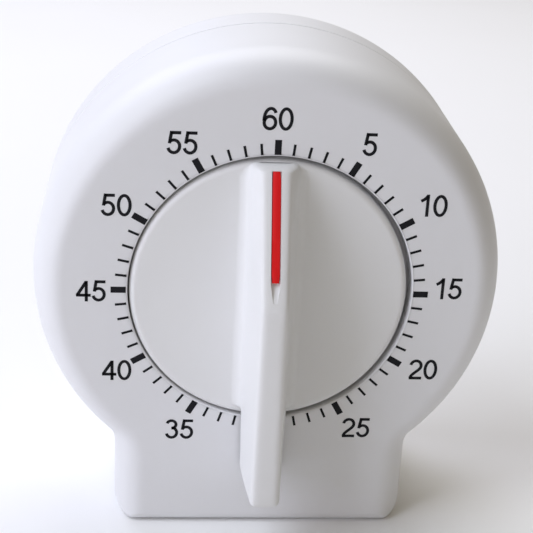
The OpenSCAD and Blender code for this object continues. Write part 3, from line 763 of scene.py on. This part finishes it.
def lever_section(knob, y, round_in, drop):
    """One ring across the lever. round_in takes it in at the ends, drop lowers its crest."""
    spread_start, spread = 1 * MM, 9 * MM
    rim_clear, rim_fade = 0.8 * MM, 1.8 * MM
    least_flare = 0.15 * MM
    sunk, bed, crown, belly = -0.6 * MM, 0.02 * MM, 0.02 * MM, 0.12 * MM
    height = crest_height(knob, y) - drop
    past = max(0.0, -y - KNOB_R + spread_start)
    base = blend(knob.base_half, knob.tip_base, past / spread) - round_in
    crest = crest_half(knob, y) - round_in * 0.7
    near_rim = (KNOB_R - rim_clear - abs(y)) / rim_fade
    flare = max(knob.fillet * blend(0.08, 1, near_rim), least_flare)
    flare = min(flare, height * 0.55)
    half = [(base + flare, sunk)]
    for i in range(7):
        t = math.radians(-90 - 90 * i / 6)
        half.append((base + flare + flare * math.cos(t), flare + flare * math.sin(t) - bed))
    soft = min(knob.crest_soft, crest * 0.6)
    shoulder = (crest + (base - crest) * soft / height, height - soft)
    foot = half[-1]
    for i in range(1, 6):
        t = i / 6
        bulge = belly * math.sin(math.pi * t)
        half.append((foot[0] + (shoulder[0] - foot[0]) * t + bulge, foot[1] + (shoulder[1] - foot[1]) * t))
    for i in range(5):
        t = i / 4
        corner = (crest, height)
        inner = (crest - soft, height)
        half.append(tuple(
            (1 - t) ** 2 * a + 2 * t * (1 - t) * b + t * t * c for a, b, c in zip(shoulder, corner, inner)
        ))
    half.append((crest * 0.3, height + crown))
    right = [at_dial(x - knob.off_centre, -h, y) for x, h in half]
    left = [at_dial(-x - knob.off_centre, -h, y) for x, h in half]
    return right + left[::-1]


class TIMER_OT_knob(bpy.types.Operator):
    """Model the dial knob: disc, lever and the groove for the pointer strip"""

    bl_idname = "timer.knob"
    bl_label = "Dial knob"

    def execute(self, context):
        knob = context.scene.timer_knob
        skirt, under, skirt_wall, hub, bore = 3.8 * MM, 2 * MM, 1.8 * MM, 5 * MM, 2.55 * MM
        bore_end, flat_end = 0.5 * MM, 0.4 * MM
        profile = [(KNOB_R * 0.02, 0.0), (KNOB_R * 0.5, 0.0), (KNOB_R - knob.rim_r - flat_end, 0.0)]
        profile += [(KNOB_R - knob.rim_r * way, knob.rim_r * back) for way, back in quarter(8)]
        profile += [(KNOB_R, skirt), (KNOB_R - skirt_wall, skirt), (KNOB_R - skirt_wall, under)]
        boss = [(hub, under), (hub, KNOB_DEPTH), (bore, KNOB_DEPTH), (bore, bore_end)]
        rings = [circle(r, d, KNOB_SIDES, (-knob.off_centre, -knob.sag)) for r, d in profile]
        rings += [circle(r, d, KNOB_SIDES) for r, d in boss]
        disc = skin("dial_knob_moulding", rings)
        lever = skin("lever", [lever_section(knob, *station) for station in self.stations(knob)])
        inner, outer = KNOB_R - 1.4 * MM, LEVER_END + 5 * MM
        sector = arc((0, 0), inner, math.radians(200), math.radians(340), 40)
        sector += [(outer, -inner * 0.34), (outer, -outer), (-outer, -outer), (-outer, -inner * 0.34)]
        below = 3 * MM
        trimmer = skin("trimmer", [
            [at_dial(x, below, z) for x, z in sector], [at_dial(x, -knob.clearance, z) for x, z in sector]
        ])
        combine(lever, [trimmer], "DIFFERENCE")
        combine(disc, [lever], "UNION")
        groove = self.groove(knob)
        combine(disc, [groove], "DIFFERENCE")
        tidy_surface(disc, 38)
        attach(disc, "knob")
        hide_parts("dial_knob")
        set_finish(disc, "knob_plastic")
        return {"FINISHED"}

    def stations(self, knob):
        """Where the lever's sections are: (y, way in, drop), from the pointer end to the tip."""
        nose_reach, nose_back, nose_in, nose_drop = 0.65, 0.55, 1.6 * MM, 2.6 * MM
        nose_room, peak_room, tip_room = 1.2 * MM, 0.9 * MM, 0.4 * MM
        stations = []
        for i in range(8):
            t = math.cos(math.pi / 2 * i / 7)
            near = rounding(t)
            y = knob.pointer_end + (nose_reach * t - nose_back) * MM
            stations.append((y, nose_in * near, nose_drop * near))
        stations += plain_sections(knob.pointer_end - nose_room, knob.peak + peak_room)
        stations.append((knob.peak + 0.5 * MM, 0.0, 0.05 * MM))
        stations.append((knob.peak, 0.0, 0.06 * MM))
        stations.append((knob.peak - 0.4 * MM, 0.0, 0.02 * MM))
        stations += plain_sections(knob.peak - SECTION_STEP, -LEVER_END + knob.tip_run + tip_room)
        for i in range(9):
            t = math.sin(math.pi / 2 * i / 8)
            taken = knob.tip_round * rounding(t)
            stations.append((-LEVER_END + knob.tip_run * (1 - t), taken, taken))
        return stations

    def groove(self, knob):
        """The cutter of the pointer groove, tapered and shallow at its inner end."""
        play, end_inset, above = 0.06 * MM, 0.3 * MM, -2 * MM
        deepest, shallowest, splay = 0.9 * MM, 0.02 * MM, 1.05
        half = knob.strip_width / 2 + play
        start = knob.pointer_end - end_inset
        stations = [start - (start - knob.strip_end) * i / 10 for i in range(11)]
        taper = [knob.strip_end + (knob.groove_end - knob.strip_end) * i / 5 for i in range(1, 6)]
        rings = []
        for y in stations + taper:
            t = max(0.0, (knob.strip_end - y) / (knob.strip_end - knob.groove_end))
            wide = half * (1 - 0.55 * t)
            deep = blend(deepest, shallowest, t)
            height = crest_height(knob, y)
            cut = [(wide, deep), (wide * splay, above), (-wide * splay, above), (-wide, deep)]
            rings.append([at_dial(x - knob.off_centre, d - height, y) for x, d in cut])
        return skin("groove", rings)


class TIMER_OT_pointer_strip(bpy.types.Operator):
    """Model the red strip that lies in the knob's groove"""

    bl_idname = "timer.pointer_strip"
    bl_label = "Pointer strip"

    def execute(self, context):
        knob = context.scene.timer_knob
        half, soft = knob.strip_width / 2, 0.15 * MM
        outer_inset, inner_inset = 0.35 * MM, 0.05 * MM
        start = knob.pointer_end - outer_inset
        top, low = 0.10 * MM, 0.85 * MM
        rings = []
        for i in range(15):
            y = start - (start - knob.strip_end - inner_inset) * i / 14
            end = soft if i in (0, 14) else 0.0
            height = crest_height(knob, y)
            wide = half - end
            cut = [(wide, low), (wide, top + soft), (wide - soft, top + end), (0, top * 0.8 + end)]
            cut += [(-x, d) for x, d in cut[2::-1]]
            rings.append([at_dial(x - knob.off_centre, d - height, y) for x, d in cut])
        strip = skin("pointer_strip_inlay", rings)
        tidy_surface(strip, 40)
        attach(strip, "knob")
        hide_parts("pointer_strip")
        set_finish(strip, "red_plastic")
        return {"FINISHED"}


# ---- Finishes ----


class Flow:
    """A shader value that takes part in arithmetic."""

    def __init__(self, finish, socket):
        self.finish = finish
        self.socket = socket

    def maths(self, operation, first, second):
        return self.finish.add("ShaderNodeMath", {"operation": operation}, {0: first, 1: second})

    def __add__(self, other):
        return self.maths("ADD", self, other)

    def __radd__(self, other):
        return self.maths("ADD", other, self)

    def __mul__(self, other):
        return self.maths("MULTIPLY", self, other)


class Finish:
    """A material under construction: a Principled shader and the nodes that feed it."""

    def __init__(self, name, **constants):
        self.material = bpy.data.materials.new(name)
        self.material.use_nodes = True
        self.tree = self.material.node_tree
        self.shader = self.tree.nodes["Principled BSDF"]
        for socket, value in constants.items():
            self.shader.inputs[socket.replace("_", " ").title().replace("Ior", "IOR")].default_value = value
        self.coords = self.add("ShaderNodeTexCoord", {}, {}, "Object")

    def add(self, kind, settings, sockets, output=0):
        """Adds a node: settings first, then the values or links of its sockets."""
        node = self.tree.nodes.new(kind)
        for key, value in settings.items():
            setattr(node, key, value)
        for key, value in sockets.items():
            if isinstance(value, Flow):
                self.tree.links.new(value.socket, node.inputs[key])
            else:
                node.inputs[key].default_value = value
        return Flow(self, node.outputs[output])

    def feed(self, socket, value):
        """Leads a value to a socket of the shader."""
        self.tree.links.new(value.socket, self.shader.inputs[socket])

    def noise(self, scale, detail=2.0, coords=None):
        """Soft noise from 0 to 1; scale is in waves for each metre."""
        return self.add("ShaderNodeTexNoise", {}, {
            "Vector": coords or self.coords, "Scale": scale, "Detail": detail, "Roughness": 0.5,
        })

    def tint(self, amount, dark, light):
        """A colour between two colours."""
        return self.add("ShaderNodeMix", {"data_type": "RGBA"}, {
            "Factor": amount, 6: (*dark, 1.0), 7: (*light, 1.0),
        }, 2)

    def bump(self, height, strength, distance):
        """Fine relief of the surface."""
        self.feed("Normal", self.add("ShaderNodeBump", {}, {
            "Height": height, "Strength": strength, "Distance": distance,
        }))


def scaled(shade, factor):
    """A colour made lighter or darker."""
    return tuple(min(1.0, c * factor) for c in shade)


def moulded_plastic(name, shade, gloss):
    """Satin moulded plastic: faint flow mottling, fine texture and slightly uneven gloss."""
    finish = Finish(name, specular_ior_level=0.5)
    flow = finish.noise(45, 3)
    texture = finish.noise(2600, 2)
    haze = finish.noise(260, 3)
    finish.feed("Base Color", finish.tint(flow, scaled(shade, 0.97), scaled(shade, 1.02)))
    finish.feed("Roughness", gloss - 0.03 + haze * 0.06)
    finish.bump(texture + haze * 0.6, 0.12, 0.02 * MM)
    return finish.material


def printing_ink(name, shade):
    """Dense pad-printed ink with a slightly uneven film."""
    finish = Finish(name, specular_ior_level=0.2)
    film = finish.noise(900, 3)
    finish.feed("Base Color", finish.tint(film, shade, scaled(shade, 1.8)))
    finish.feed("Roughness", 0.6 + film * 0.12)
    finish.bump(film, 0.1, 0.01 * MM)
    return finish.material


def drawn_steel(name, shade):
    """Bright drawn steel with fine lengthwise draw marks."""
    finish = Finish(name, metallic=1.0)
    stretched = finish.add("ShaderNodeMapping", {}, {"Vector": finish.coords, "Scale": (1.0, 0.08, 1.0)})
    marks = finish.noise(5200, 2, stretched)
    cloud = finish.noise(220, 3)
    finish.feed("Base Color", finish.tint(cloud, scaled(shade, 0.82), scaled(shade, 1.08)))
    finish.feed("Roughness", 0.22 + marks * 0.16)
    finish.bump(marks, 0.12, 0.01 * MM)
    return finish.material


def stamped_brass(name, shade, rough):
    """Brushed sheet brass with faint darker tarnish."""
    finish = Finish(name, metallic=1.0)
    stretched = finish.add("ShaderNodeMapping", {}, {"Vector": finish.coords, "Scale": (0.06, 1.0, 1.0)})
    grain = finish.noise(6400, 2, stretched)
    tarnish = finish.noise(130, 4)
    finish.feed("Base Color", finish.tint(tarnish, scaled(shade, 0.78), scaled(shade, 1.08)))
    finish.feed("Roughness", rough + grain * 0.18)
    finish.bump(grain, 0.15, 0.01 * MM)
    return finish.material


def blued_steel(name, shade):
    """Tempered spring steel, blue with a violet cast in places."""
    finish = Finish(name, metallic=1.0)
    heat = finish.noise(300, 2)
    polish = finish.noise(4000, 2)
    violet = (shade[0] * 1.9, shade[1] * 0.9, shade[2] * 1.1)
    finish.feed("Base Color", finish.tint(heat, shade, violet))
    finish.feed("Roughness", 0.20 + polish * 0.12)
    finish.bump(polish, 0.06, 0.01 * MM)
    return finish.material


def bell_plating(name, shade):
    """Bright nickel plating with slight orange peel."""
    finish = Finish(name, metallic=1.0)
    peel = finish.noise(700, 2)
    smear = finish.noise(90, 4)
    finish.feed("Base Color", finish.tint(smear, scaled(shade, 0.9), scaled(shade, 1.05)))
    finish.feed("Roughness", 0.10 + smear * 0.10)
    finish.bump(peel, 0.05, 0.02 * MM)
    return finish.material


class TIMER_OT_finishes(bpy.types.Operator):
    """Give every piece and every carried-over part its material"""

    bl_idname = "timer.finishes"
    bl_label = "Finishes"

    def execute(self, context):
        shades = context.scene.timer_finish
        by_slot = {
            "shell_plastic": moulded_plastic("shell_plastic", tuple(shades.shell), shades.gloss),
            "knob_plastic": moulded_plastic("knob_plastic", tuple(shades.knob), shades.gloss),
            "red_plastic": moulded_plastic("red_plastic", tuple(shades.red), shades.gloss),
            "steel": drawn_steel("drawn_steel", tuple(shades.steel)),
            "plate_brass": stamped_brass("plate_brass", tuple(shades.plate), 0.26),
            "wheel_brass": stamped_brass("wheel_brass", tuple(shades.wheel), 0.18),
            "spring_steel": blued_steel("blued_steel", tuple(shades.blued)),
            "bell_chrome": bell_plating("bell_plating", tuple(shades.chrome)),
        }
        for subpart in frame["record"]["subparts"]:
            node = frame["nodes"][subpart["node"]]
            node.data.materials.clear()
            node.data.materials.append(by_slot[subpart["material_slot"]])
        for piece in bpy.context.scene.objects:
            if "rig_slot" in piece:
                piece.data.materials.clear()
                piece.data.materials.append(by_slot[piece["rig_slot"]])
        ink = bpy.data.objects["dial_print"]
        ink.data.materials.clear()
        ink.data.materials.append(printing_ink("dial_ink", tuple(shades.ink)))
        return {"FINISHED"}


# ---- Stage ----


def direction(azimuth, elevation):
    """Unit vector away from the timer; azimuth 0 is in front of the dial, positive to its right."""
    return Vector((
        math.sin(azimuth) * math.cos(elevation), -math.cos(azimuth) * math.cos(elevation), math.sin(elevation)
    ))


def soft_lamp(setup, name, azimuth, elevation, power, shade):
    """A square soft box that looks at the timer from the given direction in degrees."""
    away = direction(math.radians(azimuth), math.radians(elevation))
    bpy.ops.object.light_add(type="AREA")
    lamp = bpy.context.object
    lamp.name = name
    lamp.data.shape = "SQUARE"
    lamp.data.size = setup.box
    lamp.data.energy = power
    lamp.data.color = shade
    target = at_dial(0, 10 * MM, -5 * MM)
    lamp.location = target + away * setup.reach
    lamp.rotation_euler = (-away).to_track_quat("-Z", "Y").to_euler()


def set_camera(setup):
    """The camera looks at the dial from a little left and above, slightly rolled."""
    back = direction(setup.azimuth, setup.elevation)
    roll = setup.roll
    level = (-back).cross(Vector((0, 0, 1))).normalized()
    upright = level.cross(-back)
    right = level * math.cos(roll) + upright * math.sin(roll)
    up = upright * math.cos(roll) - level * math.sin(roll)
    bpy.ops.object.camera_add()
    camera = bpy.context.object
    camera.data.sensor_width = 36.0
    camera.data.lens = setup.lens
    camera.data.clip_start = 0.01
    turn = Matrix((right, up, back)).transposed().to_4x4()
    place = at_dial(setup.aim_x, 0, setup.aim_z) + back * setup.distance
    camera.matrix_world = Matrix.Translation(place) @ turn
    bpy.context.scene.camera = camera


class TIMER_OT_stage(bpy.types.Operator):
    """Set the pale floor, the soft lights and the camera"""

    bl_idname = "timer.stage"
    bl_label = "Stage"

    def execute(self, context):
        setup = context.scene.timer_stage
        bench_clear()
        bpy.ops.mesh.primitive_plane_add(size=FLOOR_SIZE, location=(0, 0, CAD_BOX[0][2] - FLOOR_GAP))
        floor = bpy.context.object
        floor.name = "floor"
        paper = Finish("floor_paper")
        cloud = paper.noise(12, 2)
        paper.feed("Base Color", paper.tint(cloud, scaled(setup.floor, 0.99), scaled(setup.floor, 1.01)))
        paper.feed("Roughness", 0.75 + cloud * 0.1)
        floor.data.materials.append(paper.material)
        bench_clear()
        soft_lamp(setup, "window", -60, 20, setup.window, (0.81, 0.83, 1.0))
        soft_lamp(setup, "high", -70, 55, setup.high, (0.83, 0.89, 1.0))
        soft_lamp(setup, "rim", -150, 40, setup.rim, (0.73, 0.77, 1.0))
        soft_lamp(setup, "back", 170, 50, setup.back, (1.0, 1.0, 1.0))
        world = bpy.data.worlds.new("room")
        world.use_nodes = True
        sky = world.node_tree.nodes["Background"]
        sky.inputs["Color"].default_value = (*setup.room, 1.0)
        sky.inputs["Strength"].default_value = setup.ambient
        context.scene.world = world
        context.scene.view_settings.view_transform = "Standard"
        set_camera(setup)
        return {"FINISHED"}


# ---- Sidebar and registration ----

STEPS = (
    TIMER_OT_front_shell,
    TIMER_OT_rear_cover,
    TIMER_OT_dial_print,
    TIMER_OT_knob,
    TIMER_OT_pointer_strip,
    TIMER_OT_finishes,
    TIMER_OT_stage,
)
SETTINGS = {
    "timer_case": TimerCase,
    "timer_dial": TimerDial,
    "timer_knob": TimerKnob,
    "timer_finish": TimerFinish,
    "timer_stage": TimerStage,
}


class TIMER_PT_sidebar(bpy.types.Panel):
    """Sizes, colours and steps of the timer"""

    bl_idname = "TIMER_PT_sidebar"
    bl_label = "Kitchen timer"
    bl_space_type = "VIEW_3D"
    bl_region_type = "UI"
    bl_category = "Timer"

    def draw(self, context):
        for name, group in SETTINGS.items():
            box = self.layout.box()
            box.label(text=group.__name__)
            for field in group.__annotations__:
                box.prop(getattr(context.scene, name), field)
        for step in STEPS:
            self.layout.operator(step.bl_idname)


def register():
    for group in SETTINGS.values():
        bpy.utils.register_class(group)
    for step in STEPS:
        bpy.utils.register_class(step)
    bpy.utils.register_class(TIMER_PT_sidebar)
    for name, group in SETTINGS.items():
        setattr(bpy.types.Scene, name, PointerProperty(type=group))


def unregister():
    for name in SETTINGS:
        delattr(bpy.types.Scene, name)
    bpy.utils.unregister_class(TIMER_PT_sidebar)
    for step in reversed(STEPS):
        bpy.utils.unregister_class(step)
    for group in reversed(list(SETTINGS.values())):
        bpy.utils.unregister_class(group)


def main():
    register()
    bpy.ops.timer.front_shell()
    bpy.ops.timer.rear_cover()
    bpy.ops.timer.dial_print()
    bpy.ops.timer.knob()
    bpy.ops.timer.pointer_strip()
    bpy.ops.timer.finishes()
    bpy.ops.timer.stage()


if __name__ == "__main__":
    main()
